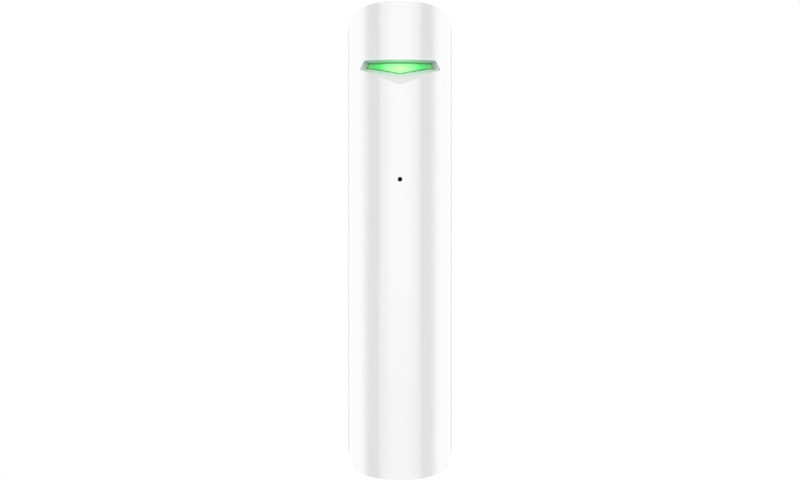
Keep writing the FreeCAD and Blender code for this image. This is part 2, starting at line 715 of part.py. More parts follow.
def microphone_pins():
    z = TOP - MIC_BELOW_TOP
    rear = capsule_front_y() + CAPSULE_LENGTH
    pins = [rod_y(x, z, MIC_PIN_RADIUS, rear, BOARD_FRONT_Y) for x in (-MIC_PIN_OFFSET, MIC_PIN_OFFSET)]
    return Part.makeCompound(pins)


# A folded sheet can, open towards the board
def radio_shield():
    z0 = TOP - SHIELD_END
    z1 = TOP - SHIELD_TOP
    front = BOARD_FRONT_Y - SHIELD_HEIGHT
    can = rounded_block(-SHIELD_HALF, SHIELD_HALF, front, BOARD_FRONT_Y, z0, z1, 2 * SHIELD_SHEET)
    sheet = SHIELD_SHEET
    inside = box(
        -SHIELD_HALF + sheet, SHIELD_HALF - sheet, front + sheet, BOARD_FRONT_Y + 1, z0 + sheet, z1 - sheet
    )
    return can.cut(inside)


def processor_chip():
    z = TOP - CHIP_BELOW_TOP
    half = CHIP_SIDE / 2
    return box(-half, half, BOARD_FRONT_Y - CHIP_THICKNESS, BOARD_FRONT_Y, z - half, z + half)


# A bent strip that stands off the board on two legs
def antenna():
    z1 = TOP - ANTENNA_TOP
    z0 = z1 - ANTENNA_WIDTH
    front = BOARD_FRONT_Y - ANTENNA_HEIGHT
    strip = box(-ANTENNA_HALF, ANTENNA_HALF, front, BOARD_FRONT_Y, z0, z1)
    inner = ANTENNA_HALF - ANTENNA_SHEET
    opening = box(-inner, inner, front + ANTENNA_SHEET, BOARD_FRONT_Y + 1, z0 - 1, z1 + 1)
    return strip.cut(opening)


def reservoir_capacitor():
    z = TOP - RESERVOIR_BELOW_TOP
    return rod_y(RESERVOIR_X, z, RESERVOIR_RADIUS, BOARD_FRONT_Y - RESERVOIR_HEIGHT, BOARD_FRONT_Y)


def chip_capacitors():
    blocks = []
    for i in range(CHIP_CAPACITOR_COUNT):
        z = TOP - CHIP_CAPACITOR_START - i * CHIP_CAPACITOR_PITCH
        half_x = CHIP_CAPACITOR_SIZE[0] / 2
        half_z = CHIP_CAPACITOR_SIZE[2] / 2
        front = BOARD_FRONT_Y - CHIP_CAPACITOR_SIZE[1]
        x = CHIP_CAPACITOR_X
        blocks.append(box(x - half_x, x + half_x, front, BOARD_FRONT_Y, z - half_z, z + half_z))
    return Part.makeCompound(blocks)


def tamper_switch():
    z = TOP - TAMPER_BELOW_TOP
    face = plunger_rear_y() - TAMPER_TRAVEL - TAMPER_STOP_GAP
    half = TAMPER_SWITCH_HALF
    return box(-half, half, BOARD_REAR_Y, face, z - half, z + half)


def plunger_rear_y():
    return FLOOR_INNER_Y - TAMPER_TIP_GAP - TAMPER_FLANGE


def tamper_plunger():
    z = TOP - TAMPER_BELOW_TOP
    tip = -PLATE_THICKNESS - TAMPER_TIP_GAP
    flange_top = FLOOR_INNER_Y - TAMPER_TIP_GAP
    stem = rod_y(0, z, TAMPER_RADIUS, plunger_rear_y(), tip)
    flange = rod_y(0, z, TAMPER_FLANGE_RADIUS, plunger_rear_y(), flange_top)
    return stem.fuse(flange).removeSplitter()


def switch_box():
    x0 = WINDOW_RIGHT + SWITCH_CLEARANCE
    x1 = WINDOW_LEFT - SWITCH_CLEARANCE
    z0 = TOP - WINDOW_END + SWITCH_FOOT_GAP
    z1 = TOP - WINDOW_TOP - SWITCH_CLEARANCE
    return x0, x1, z0, z1


def power_switch_body():
    x0, x1, z0, z1 = switch_box()
    rear = RECESS_FLOOR_Y - SWITCH_SINK
    body = box(x0, x1, BOARD_REAR_Y, rear, z0, z1)
    margin = SWITCH_SLOT_MARGIN
    edge = SWITCH_SLOT_EDGE
    slot = box(x0 + margin, x1 - margin, rear - SWITCH_SLOT_DEPTH, rear + 1, z0 + edge, z1 - edge)
    return body.cut(slot)


def power_switch_slider():
    x0, x1, z0, z1 = switch_box()
    left = x0 + SWITCH_SLOT_MARGIN + SLIDER_CLEARANCE
    edge = SWITCH_SLOT_EDGE + SLIDER_CLEARANCE
    foot = RECESS_FLOOR_Y - SWITCH_SINK - SWITCH_SLOT_DEPTH + SLIDER_CLEARANCE
    return box(left, left + SLIDER_WIDTH, foot, RECESS_FLOOR_Y - SLIDER_SINK, z0 + edge, z1 - edge)


def battery_cell():
    z1 = TOP - CELL_TOP
    can = Part.makeCylinder(CELL_RADIUS, CELL_LENGTH, Vector(0, AXIS_Y, z1 - CELL_LENGTH))
    can = can.makeFillet(CELL_EDGE, [e for e in can.Edges if e.Closed])
    nub = Part.makeCylinder(CELL_NUB_RADIUS, CELL_NUB + CELL_EDGE, Vector(0, AXIS_Y, z1 - CELL_EDGE))
    return can.fuse(nub).removeSplitter()


# A bent strip: under the partition against the cell's nub, then up to the board
def plus_contact():
    sheet = CONTACT_SHEET
    top = TOP - PARTITION_END
    front = PARTITION_FRONT_Y - LAP_CLEARANCE
    rear = AXIS_Y + CONTACT_HALF
    rise = TOP - BOARD_END + 2 * sheet
    nub = TOP - CELL_TOP + CELL_NUB
    outline = [
        (rear, top), (front, top), (front, rise), (BOARD_FRONT_Y, rise),
        (BOARD_FRONT_Y, rise + sheet), (front - sheet, rise + sheet), (front - sheet, nub),
        (rear, nub),
    ]
    return bar_yz(outline, -CONTACT_HALF, CONTACT_HALF)


# A folded leaf between the housing's end wall and the cell
def minus_contact():
    sheet = CONTACT_SHEET
    base = BOTTOM + END_WALL + MINUS_CONTACT_RISE
    cell = TOP - CELL_TOP - CELL_LENGTH
    rear = AXIS_Y + CONTACT_HALF / 2
    front = AXIS_Y - CONTACT_HALF
    bend = AXIS_Y - CONTACT_HALF / 4
    outline = [
        (rear, base), (front, base), (bend, cell), (rear, cell), (rear, cell - sheet),
        (bend + sheet, cell - sheet), (front + 2 * sheet, base + sheet), (rear, base + sheet),
    ]
    return bar_yz(outline, -CONTACT_HALF, CONTACT_HALF)


def rear_label():
    z0 = TOP - LABEL_TOP - LABEL_HEIGHT
    return box(-LABEL_HALF, LABEL_HALF, REAR_Y - LABEL_THICKNESS, REAR_Y, z0, z0 + LABEL_HEIGHT)


NODES = {
    "front_cover": front_cover,
    "rear_housing": rear_housing,
    "wall_bracket": wall_bracket,
    "light_guide": light_guide,
    "circuit_board": circuit_board,
    "board_screws": board_screws,
    "status_led": status_led,
    "microphone_capsule": microphone_capsule,
    "microphone_boot": microphone_boot,
    "sound_membrane": sound_membrane,
    "microphone_pins": microphone_pins,
    "radio_shield": radio_shield,
    "processor_chip": processor_chip,
    "antenna": antenna,
    "reservoir_capacitor": reservoir_capacitor,
    "chip_capacitors": chip_capacitors,
    "tamper_switch": tamper_switch,
    "tamper_plunger": tamper_plunger,
    "power_switch_body": power_switch_body,
    "power_switch_slider": power_switch_slider,
    "battery_cell": battery_cell,
    "plus_contact": plus_contact,
    "minus_contact": minus_contact,
    "rear_label": rear_label,
}

for name, build in NODES.items():
    shape = build()
    print(name, len(shape.Solids), "solids", round(shape.Volume, 1), "cubic mm")
    shape.exportStep("parts/" + name + ".step")
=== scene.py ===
import math
import bpy
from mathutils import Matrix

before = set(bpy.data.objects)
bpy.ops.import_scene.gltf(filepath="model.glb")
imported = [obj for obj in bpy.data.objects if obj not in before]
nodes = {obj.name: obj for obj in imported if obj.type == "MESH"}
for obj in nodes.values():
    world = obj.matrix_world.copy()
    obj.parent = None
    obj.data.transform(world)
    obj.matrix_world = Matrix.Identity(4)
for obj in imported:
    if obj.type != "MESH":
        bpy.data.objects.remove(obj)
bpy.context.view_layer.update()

# Front cover. A half-round shell of white ABS, injection moulded in a polished mould, so it is glossy with
# a very faint waviness. Its rim laps over the housing's tongue and closes the case in front.
COVER_WHITE = (0.757, 0.756, 0.756)
COVER_SHADE = (0.738, 0.737, 0.737)
COVER_DUST = (0.52, 0.50, 0.47)
COVER_DUST_SHARE = 0.25
COVER_IOR = 1.54
COVER_ROUGHNESS = 0.07
COVER_WAVE = 0.0000006
RUB_STRETCH = (900.0, 900.0, 5200.0)
RUB_EDGE = (0.56, 0.74)
SPECK_SOFTNESS = 1.6


def add(tree, kind, inputs=(), **settings):
    """One node, with its settings, and each input given as a value or as the socket that feeds it."""
    node = tree.nodes.new("ShaderNode" + kind)
    for key, value in settings.items():
        setattr(node, key, value)
    for key, value in dict(inputs).items():
        if isinstance(value, bpy.types.NodeSocket):
            tree.links.new(value, node.inputs[key])
        else:
            node.inputs[key].default_value = value
    return node


def math_node(tree, operation, *values):
    return add(tree, "Math", enumerate(values), operation=operation).outputs[0]


def times(tree, *values):
    product = values[0]
    for value in values[1:]:
        product = math_node(tree, "MULTIPLY", product, value)
    return product


def length(tree, first, second):
    """How far a point lies from the origin, from its two coordinates."""
    squares = math_node(tree, "MULTIPLY_ADD", first, first, times(tree, second, second))
    return math_node(tree, "SQRT", squares)


def ramped(tree, value, low, high):
    """0 up to low, 1 from high, smooth between."""
    settings = {"Value": value, "From Min": low, "From Max": high}
    return add(tree, "MapRange", settings, interpolation_type="SMOOTHSTEP").outputs[0]


def faded(tree, value, low, high):
    """1 up to low, 0 from high, smooth between."""
    return math_node(tree, "SUBTRACT", 1.0, ramped(tree, value, low, high))


def mixed(tree, share, first, second):
    """The first colour where share is 0, the second where it is 1."""
    colours = [c if isinstance(c, bpy.types.NodeSocket) else (*c, 1.0) for c in (first, second)]
    return add(tree, "Mix", {0: share, 6: colours[0], 7: colours[1]}, data_type="RGBA").outputs[2]


def colour_ramp(tree, value, stops):
    """A colour that runs straight from stop to stop."""
    node = add(tree, "ValToRGB", {0: value})
    elements = node.color_ramp.elements
    for element, (position, colour) in zip(elements, (stops[0], stops[-1])):
        element.position = position
        element.color = (*colour, 1.0)
    for position, colour in stops[1:-1]:
        elements.new(position).color = (*colour, 1.0)
    return node.outputs[0]


def new_group(name, takes, gives):
    """A node group with its inputs, given with their values, and its outputs."""
    tree = bpy.data.node_groups.new(name, "ShaderNodeTree")
    for label, kind, value in takes:
        socket = tree.interface.new_socket(label, in_out="INPUT", socket_type="NodeSocket" + kind)
        if value is not None:
            socket.default_value = value
    for label, kind in gives:
        tree.interface.new_socket(label, in_out="OUTPUT", socket_type="NodeSocket" + kind)
    return tree, tree.nodes.new("NodeGroupInput").outputs, tree.nodes.new("NodeGroupOutput").inputs


def effect(tree, group, place, sizes):
    """The outputs of a node group that is placed in a material with its own sizes."""
    return add(tree, "Group", {"Vector": place, **sizes}, node_tree=group).outputs


def open_material(name):
    """A new material with its node tree, its shader and the piece's own coordinates."""
    finish = bpy.data.materials.new(name)
    finish.use_nodes = True
    tree = finish.node_tree
    return finish, tree, tree.nodes["Principled BSDF"], add(tree, "TexCoord").outputs["Object"]


def roughen(tree, shader, roughness, *shares):
    """The shader's roughness, to which each mask adds its share."""
    for mask, share in shares:
        roughness = math_node(tree, "MULTIPLY_ADD", mask, share, roughness)
    tree.links.new(roughness, shader.inputs["Roughness"])


def emboss(tree, shader, height, depth):
    """A height from 0 to 1 as relief of that depth on the shader's normal."""
    bump = add(tree, "Bump", {"Height": height, "Strength": 1.0, "Distance": depth})
    tree.links.new(bump.outputs[0], shader.inputs["Normal"])


def paint(name, finish):
    for slot in nodes[name].material_slots:
        slot.material = finish


# The skin of a moulded part: a fine even grain from the mould, and slow variation over a few millimetres
grain_group, taken, given = new_group(
    "Moulded grain",
    [("Vector", "Vector", None), ("Grain size", "Float", 0.0002), ("Drift size", "Float", 0.006)],
    [("Grain", "Float"), ("Drift", "Float")],
)
place = taken["Vector"]
fine = math_node(grain_group, "DIVIDE", 1.0, taken["Grain size"])
slow = math_node(grain_group, "DIVIDE", 1.0, taken["Drift size"])
grain = add(grain_group, "TexNoise", {"Vector": place, "Scale": fine, "Detail": 2.0, "Roughness": 0.6})
drift = add(grain_group, "TexNoise", {"Vector": place, "Scale": slow, "Detail": 3.0, "Roughness": 0.5})
grain_group.links.new(grain.outputs["Fac"], given["Grain"])
grain_group.links.new(drift.outputs["Fac"], given["Drift"])

# What handling leaves: thin rub marks that lie mostly across the part, and a few specks of dust
handled_group, taken, given = new_group(
    "Handled surface",
    [("Vector", "Vector", None), ("Speck size", "Float", 0.0012), ("Speck share", "Float", 0.05)],
    [("Rub", "Float"), ("Speck", "Float")],
)
place = taken["Vector"]
lines = add(handled_group, "Mapping", {"Vector": place, "Scale": RUB_STRETCH}).outputs[0]
rub = add(handled_group, "TexNoise", {"Vector": lines, "Scale": 1.0, "Detail": 4.0, "Roughness": 0.7})
handled_group.links.new(ramped(handled_group, rub.outputs["Fac"], *RUB_EDGE), given["Rub"])
per_metre = math_node(handled_group, "DIVIDE", 1.0, taken["Speck size"])
dots = add(handled_group, "TexVoronoi", {"Vector": place, "Scale": per_metre, "Randomness": 1.0})
speck_end = times(handled_group, taken["Speck share"], SPECK_SOFTNESS)
speck = faded(handled_group, dots.outputs["Distance"], taken["Speck share"], speck_end)
handled_group.links.new(speck, given["Speck"])

cover_finish, tree, shader, place = open_material("cover_gloss_white")
skin = effect(tree, grain_group, place, {"Grain size": 0.0016, "Drift size": 0.009})
touch = effect(tree, handled_group, place, {"Speck size": 0.0021, "Speck share": 0.022})
tint = mixed(tree, skin["Drift"], COVER_SHADE, COVER_WHITE)
tint = mixed(tree, times(tree, touch["Speck"], COVER_DUST_SHARE), tint, COVER_DUST)
at = add(tree, "SeparateXYZ", {0: place}).outputs
up = at["Z"]
across = math_node(tree, "ABSOLUTE", at["X"])

# The notch is moulded into the cover in front of the lens. Its slopes below the lens carry painted green
# light from the lens, its grey cheeks at its ends are painted shade, and its roof carries painted light from
# the lens with painted shade. In the pairs of metres here and in later sections, a mask starts to change at
# the first and has changed at the second.
AXIS_Y = -0.0103
NOTCH_WALL = (0.00958, 0.00966)
NOTCH_SILL = (0.0053, 0.0054)
NOTCH_CEILING = (0.01025, 0.0103)
LENS_HALF = 0.006
LENS_TOP = 0.00955
LENS_VEE = 0.0075
LENS_SIDE_RISE = 0.00115
LENS_LIGHT_REACH = (-0.0001, 0.0011)
LENS_LIGHT_GREEN = (0.50, 0.80, 0.56)
CHEEK_SIDE = (0.00595, 0.0061)
CHEEK_FLOOR = (0.0083, 0.0086)
CHEEK_SPREAD = (0.0062, 0.0074)
CHEEK_INNER_SHADE = (0.37, 0.41, 0.36)
CHEEK_OUTER_SHADE = (0.66, 0.66, 0.65)
CHEEK_GRAIN = (0.80, 0.80, 0.80)
CHEEK_GRAIN_SHARE = 0.3
ROOF_EDGE = (0.0095, 0.00956)
ROOF_TOP = 0.0102
ROOF_DEPTH = 0.00065
ROOF_CORNER = (LENS_HALF, LENS_HALF + 0.0004)
ROOF_CORNER_SHADE = (0.34, 0.40, 0.35)
ROOF_MIDDLE_LIGHT_AND_SHADE = (
    (0.05, (0.46, 0.74, 0.53)),
    (0.35, (0.42, 0.84, 0.49)),
    (0.62, (0.23, 0.76, 0.29)),
    (0.85, (0.07, 0.45, 0.09)),
)
ROOF_END_LIGHT_AND_SHADE = (
    (0.05, (0.33, 0.40, 0.36)),
    (0.35, (0.30, 0.42, 0.35)),
    (0.62, (0.24, 0.45, 0.31)),
    (0.85, (0.06, 0.26, 0.12)),
)


def vee_edge(tree, across):
    """Height of the lens's lower edge, a shallow V that is lowest in the middle."""
    return math_node(tree, "MULTIPLY_ADD", across, LENS_SIDE_RISE / LENS_HALF, LENS_VEE)


from_axis = length(tree, math_node(tree, "SUBTRACT", at["Y"], AXIS_Y), across)
notch = times(tree, faded(tree, from_axis, *NOTCH_WALL), faded(tree, up, *NOTCH_CEILING))
notch = times(tree, notch, ramped(tree, up, *NOTCH_SILL))
below_lens = math_node(tree, "SUBTRACT", vee_edge(tree, across), up)
# Painted green light from the lens on the slopes below it
tint = mixed(tree, times(tree, notch, faded(tree, below_lens, *LENS_LIGHT_REACH)), tint, LENS_LIGHT_GREEN)
# Painted shade on the cheeks, darkest next to the lens, with the mould's grain
cheek_shade = mixed(tree, ramped(tree, across, *CHEEK_SPREAD), CHEEK_INNER_SHADE, CHEEK_OUTER_SHADE)
cheek_shade = mixed(tree, times(tree, skin["Grain"], CHEEK_GRAIN_SHARE), cheek_shade, CHEEK_GRAIN)
on_cheek = times(tree, notch, ramped(tree, across, *CHEEK_SIDE), ramped(tree, up, *CHEEK_FLOOR))
tint = mixed(tree, on_cheek, tint, cheek_shade)
# Painted green light from the lens on the roof, darker down towards the lens, with painted shade at its ends
roof_depth = math_node(tree, "DIVIDE", math_node(tree, "SUBTRACT", ROOF_TOP, up), ROOF_DEPTH)
roof_middle = colour_ramp(tree, roof_depth, ROOF_MIDDLE_LIGHT_AND_SHADE)
roof_end = colour_ramp(tree, roof_depth, ROOF_END_LIGHT_AND_SHADE)
roof_light_and_shade = mixed(tree, math_node(tree, "DIVIDE", across, LENS_HALF), roof_middle, roof_end)
roof_light_and_shade = mixed(tree, ramped(tree, across, *ROOF_CORNER), roof_light_and_shade, ROOF_CORNER_SHADE)
tint = mixed(tree, times(tree, notch, ramped(tree, up, *ROOF_EDGE)), tint, roof_light_and_shade)

# The sound hole is a bore through the cover, painted black as shade. A satin flare runs along the cover's
# edge, rougher and painted grey as shade, and the edge ends in a painted shadow of the seam.
SOUND_Z = -0.0123
SOUND_RIM = (0.00042, 0.00048)
SOUND_HOLE_SHADE = (0.004, 0.004, 0.004)
FLARE_START = (-0.0079, -0.0076)
FLARE_SHADE_SHARE = 0.8
FLARE_SHADE_GREY = (0.55, 0.55, 0.55)
SATIN_ROUGHER = 0.4
SEAM_START = (-0.00592, -0.00584)
SEAM_SHADOW = (0.30, 0.30, 0.30)
# Painted shade in the sound hole
sound_hole_shade = faded(tree, length(tree, math_node(tree, "SUBTRACT", up, SOUND_Z), across), *SOUND_RIM)
tint = mixed(tree, sound_hole_shade, tint, SOUND_HOLE_SHADE)
# Painted shade on the flare, which is also rougher
flare = ramped(tree, at["Y"], *FLARE_START)
tint = mixed(tree, times(tree, flare, FLARE_SHADE_SHARE), tint, FLARE_SHADE_GREY)
tint = mixed(tree, ramped(tree, at["Y"], *SEAM_START), tint, SEAM_SHADOW)
tree.links.new(tint, shader.inputs["Base Color"])
satin = math_node(tree, "MAXIMUM", flare, notch)
roughen(tree, shader, COVER_ROUGHNESS, (touch["Rub"], 0.03), (satin, SATIN_ROUGHER), (skin["Drift"], 0.02))

# The light that leaves the notch makes a faint halo on the gloss above it
HALO_FOOT = (0.0101, 0.0102)
HALO_HEAD = (0.0103, 0.011)
HALO_SIDE = (0.0045, 0.0075)
HALO_GLOW = (0.0, 0.055, 0.05)
NO_GLOW = (0.0, 0.0, 0.0)
halo = times(tree, ramped(tree, up, *HALO_FOOT), faded(tree, up, *HALO_HEAD), faded(tree, across, *HALO_SIDE))
tree.links.new(mixed(tree, halo, NO_GLOW, HALO_GLOW), shader.inputs["Emission Color"])
shader.inputs["Emission Strength"].default_value = 1.0
shader.inputs["IOR"].default_value = COVER_IOR
emboss(tree, shader, skin["Grain"], COVER_WAVE)
paint("front_cover", cover_finish)

# Light guide. One moulding of clear acrylic behind the notch, with a stem that leads to the status light on
# the board. It glows green, palest in front of the stem, and its rim is painted dark as shade where the
# cover's edge overhangs it.
TOP_RIM = (0.00004, 0.0002)
VEE_RIM = (0.0001, 0.0003)
RIM_SHADED_GLOW = (0.03, 0.27, 0.07)
RIM_SHADE_GREEN = (0.004, 0.03, 0.008)
LENS_GREEN = (0.03, 0.09, 0.035)
LENS_RELIEF = 0.000002
GLOW_Z = 0.0084
GLOW_RISE = 0.0025
GLOW_LEAST = 0.92
GLOW_DRIFT = 0.16
GLOW_COLOURS = (
    (0.0, (0.45, 0.93, 0.29)),
    (0.21, (0.32, 0.91, 0.25)),
    (0.306, (0.26, 0.90, 0.235)),
    (0.376, (0.21, 0.89, 0.22)),
    (0.46, (0.165, 0.88, 0.20)),
    (0.545, (0.095, 0.87, 0.165)),
    (0.636, (0.08, 0.84, 0.165)),
    (0.72, (0.08, 0.74, 0.148)),
    (0.81, (0.072, 0.67, 0.124)),
    (0.905, (0.08, 0.55, 0.13)),
    (1.0, (0.07, 0.40, 0.10)),
)
guide_finish, tree, shader, place = open_material("guide_lit_green")
at = add(tree, "SeparateXYZ", {0: place}).outputs
across = math_node(tree, "ABSOLUTE", at["X"])
sideways = math_node(tree, "DIVIDE", across, LENS_HALF)
upwards = math_node(tree, "DIVIDE", math_node(tree, "SUBTRACT", at["Z"], GLOW_Z), GLOW_RISE)
glow = colour_ramp(tree, length(tree, sideways, upwards), GLOW_COLOURS)
from_top = math_node(tree, "SUBTRACT", LENS_TOP, at["Z"])
from_vee = math_node(tree, "SUBTRACT", at["Z"], vee_edge(tree, across))
inside = times(tree, ramped(tree, from_top, *TOP_RIM), ramped(tree, from_vee, *VEE_RIM))
skin = effect(tree, grain_group, place, {"Grain size": 0.0005, "Drift size": 0.0022})
patch = math_node(tree, "MULTIPLY_ADD", skin["Drift"], GLOW_DRIFT, GLOW_LEAST)
lit = add(tree, "Mix", {0: 1.0, 6: glow, 7: patch}, data_type="RGBA", blend_type="MULTIPLY").outputs[2]
tree.links.new(mixed(tree, inside, RIM_SHADED_GLOW, lit), shader.inputs["Emission Color"])
shader.inputs["Emission Strength"].default_value = 1.0
tree.links.new(mixed(tree, inside, RIM_SHADE_GREEN, LENS_GREEN), shader.inputs["Base Color"])
roughen(tree, shader, 0.12, (skin["Grain"], 0.08))
emboss(tree, shader, skin["Grain"], LENS_RELIEF)
paint("light_guide", guide_finish)

# Rear housing. The other half of the case, moulded in the same white ABS in a spark-eroded mould, so it has
# a fine matte grain. Its back has the recess, rails and openings, and it carries the board and the cell.
HOUSING_WHITE = (0.59, 0.592, 0.59)
HOUSING_SHADE = (0.55, 0.552, 0.55)
DUST_GREY = (0.40, 0.38, 0.35)
DUST_SHARE = 0.3
RUB_PALER = 1.12
RUB_SHARE = 0.14
RUB_SMOOTHER = -0.1
GRAIN_ROUGHER = 0.12
# The recess round the bracket is darkened with painted shade, darkest on the floor behind the screw holes
RECESS_SIDE = (0.00705, 0.0072)
RECESS_LIP = (-0.0014, -0.0006)
RECESS_FLOOR = (-0.0030, -0.0028)
RECESS_END = (-0.0256, -0.0253)
HOLLOW_SHADE = (0.20, 0.20, 0.20)
HOLLOW_SHADE_SHARE = 0.75
HOLE_Z = 0.010
BORE_EDGE = 0.0001
BORE_LIP = 0.0002
UNDER_HOLE_RADIUS = 0.0026
UNDER_HOLE_DEPTH = 0.0022
UNDER_HOLE_SHADE = (0.09, 0.09, 0.09)
LOWER_HOLE = (-0.001, 0.001)
SIGHT_SHADE = (0.02, 0.02, 0.02)


def moulded(name, light, shade, roughness, grain_size, grain_depth, specks, painted_light_and_shade=None):
    """A moulded plastic with grain, drift of tone, rub marks and dust, and any painted light and shade laid
    over.
    """
    finish, tree, shader, place = open_material(name)
    skin = effect(tree, grain_group, place, {"Grain size": grain_size})
    touch = effect(tree, handled_group, place, {"Speck share": specks})
    rubbed = tuple(min(1.0, RUB_PALER * c) for c in light)
    tint = mixed(tree, skin["Drift"], shade, light)
    tint = mixed(tree, times(tree, touch["Rub"], RUB_SHARE), tint, rubbed)
    tint = mixed(tree, times(tree, touch["Speck"], DUST_SHARE), tint, DUST_GREY)
    if painted_light_and_shade:
        for mask, painted_tone in painted_light_and_shade(tree, add(tree, "SeparateXYZ", {0: place}).outputs):
            tint = mixed(tree, mask, tint, painted_tone)
    tree.links.new(tint, shader.inputs["Base Color"])
    roughen(tree, shader, roughness, (touch["Rub"], RUB_SMOOTHER), (skin["Grain"], GRAIN_ROUGHER))
    emboss(tree, shader, skin["Grain"], grain_depth)
    return finish


def in_bores(tree, at, radius, depth):
    """1 in line with the bracket's two screw holes, further than a depth in front of the wall."""
    along = math_node(tree, "SUBTRACT", math_node(tree, "ABSOLUTE", at["Z"]), HOLE_Z)
    within = faded(tree, length(tree, along, at["X"]), radius, radius + BORE_EDGE)
    return times(tree, within, faded(tree, at["Y"], -depth - BORE_LIP, -depth))


def recess_painted_shade(tree, at):
    """Painted shade on the floor and walls of the recess round the bracket, darker behind its screw holes."""
    inside = faded(tree, math_node(tree, "ABSOLUTE", at["X"]), *RECESS_SIDE)
    deep = times(tree, faded(tree, at["Y"], *RECESS_LIP), ramped(tree, at["Y"], *RECESS_FLOOR))
    above_end = ramped(tree, at["Z"], *RECESS_END)
    under_holes = in_bores(tree, at, UNDER_HOLE_RADIUS, UNDER_HOLE_DEPTH)
    return (
        (times(tree, inside, deep, above_end, HOLLOW_SHADE_SHARE), HOLLOW_SHADE),
        (under_holes, UNDER_HOLE_SHADE),
        (times(tree, under_holes, faded(tree, at["Z"], *LOWER_HOLE)), SIGHT_SHADE),
    )


housing_finish = moulded(
    "housing_matte_white", light=HOUSING_WHITE, shade=HOUSING_SHADE, roughness=0.52,
    grain_size=0.00011, grain_depth=0.000006, specks=0.03, painted_light_and_shade=recess_painted_shade,
)
paint("rear_housing", housing_finish)

# Rear label. A blank film label, set in a shallow pocket low on the back. It is a little lighter and smoother
# than the housing round it.
label_finish = moulded(
    "label_plain", light=(0.636, 0.637, 0.637), shade=(0.611, 0.612, 0.612), roughness=0.38,
    grain_size=0.00035, grain_depth=0.000002, specks=0.02,
)
paint("rear_label", label_finish)

# Wall bracket. A flat plate of white ABS with hooks, legs and a break-off pad, screwed to the wall. Its back
# has the same fine matte grain as the housing, from the same kind of mould.
# The plate's slit walls, edges, steps and holes are darkened with painted shade
PLATE_LIP = (-0.0011, -0.0004)
PLATE_SIDE = (0.00506, 0.00512)
PLATE_INNER = (0.0049, 0.00502)
PLATE_EDGE_SHARE = 0.15
STEP_FLOOR = (-0.00028, -0.00026)
STEP_LIP = (-0.00006, -0.00003)
STEP_SIDE = (0.0045, 0.0046)
STEP_TOP = (0.0075, 0.0085)
STEP_SHARE = 0.8
# Where the plate bends over towards its top it is lighter with painted light, above a painted shade line
ARCH_Z = 0.0142
ARCH_BEND = 44.0
ARCH_LINE = (0.00005, 0.00014)
ARCH_FACE = (-0.0006, -0.0004)
ARCH_SHADE = (0.38, 0.38, 0.38)
ARCH_SHADE_SHARE = 0.4
END_START = (0.0, 0.0006)
END_PAINTED_LIGHT = (0.68, 0.68, 0.675)
END_LIGHT_SHARE = 0.6
HOLE_RADIUS = 0.00202
HOLE_CHAMFER = 0.0001
HOLE_SHADE = (0.15, 0.15, 0.15)


def plate_painted_light_and_shade(tree, at):
    """Painted shade in the plate's slits, edges, steps and holes; painted light on its end above a shaded
    arch.
    """
    across = math_node(tree, "ABSOLUTE", at["X"])
    inner = faded(tree, across, *PLATE_INNER)
    inner = math_node(tree, "MULTIPLY_ADD", inner, 1.0 - PLATE_EDGE_SHARE, PLATE_EDGE_SHARE)
    walls = times(tree, faded(tree, at["Y"], *PLATE_LIP), faded(tree, across, *PLATE_SIDE), inner)
    step_height = times(tree, ramped(tree, at["Y"], *STEP_FLOOR), faded(tree, at["Y"], *STEP_LIP))
    step_place = times(tree, faded(tree, across, *STEP_SIDE), faded(tree, at["Z"], *STEP_TOP))
    arch = math_node(tree, "MULTIPLY_ADD", times(tree, at["X"], at["X"]), ARCH_BEND, -ARCH_Z)
    above_arch = math_node(tree, "ADD", at["Z"], arch)
    arch_line = faded(tree, math_node(tree, "ABSOLUTE", above_arch), *ARCH_LINE)
    return (
        (walls, HOLLOW_SHADE),
        (times(tree, step_height, step_place, STEP_SHARE), HOLLOW_SHADE),
        (times(tree, ramped(tree, above_arch, *END_START), END_LIGHT_SHARE), END_PAINTED_LIGHT),
        (times(tree, arch_line, ramped(tree, at["Y"], *ARCH_FACE), ARCH_SHADE_SHARE), ARCH_SHADE),
        (in_bores(tree, at, HOLE_RADIUS, HOLE_CHAMFER), HOLE_SHADE),
    )


bracket_finish = moulded(
    "bracket_matte_white", light=(0.59, 0.591, 0.59), shade=(0.555, 0.556, 0.555), roughness=0.5,
    grain_size=0.00012, grain_depth=0.000005, specks=0.04, painted_light_and_shade=plate_painted_light_and_shade,
)
paint("wall_bracket", bracket_finish)

# Power switch. A small slide switch on the board, seen in the window of the recess: a black body and a grey
# slider that moves sideways to switch the sensor on.
switch_finish = moulded(
    "switch_black", light=(0.022, 0.022, 0.023), shade=(0.016, 0.016, 0.017), roughness=0.42,
    grain_size=0.00009, grain_depth=0.000004, specks=0.03,
)
slider_finish = moulded(
    "slider_grey", light=(0.26, 0.26, 0.265), shade=(0.22, 0.22, 0.225), roughness=0.38,
    grain_size=0.00009, grain_depth=0.000004, specks=0.02,
)
paint("power_switch_body", switch_finish)
paint("power_switch_slider", slider_finish)

# Tamper button. A white plunger through the housing that the bracket's pad holds in, with the small black
# switch on the board that it presses.
plunger_finish = moulded(
    "plunger_white", light=(0.60, 0.60, 0.59), shade=(0.56, 0.56, 0.55), roughness=0.4,
    grain_size=0.0001, grain_depth=0.000003, specks=0.02,
)
paint("tamper_plunger", plunger_finish)
paint("tamper_switch", switch_finish)

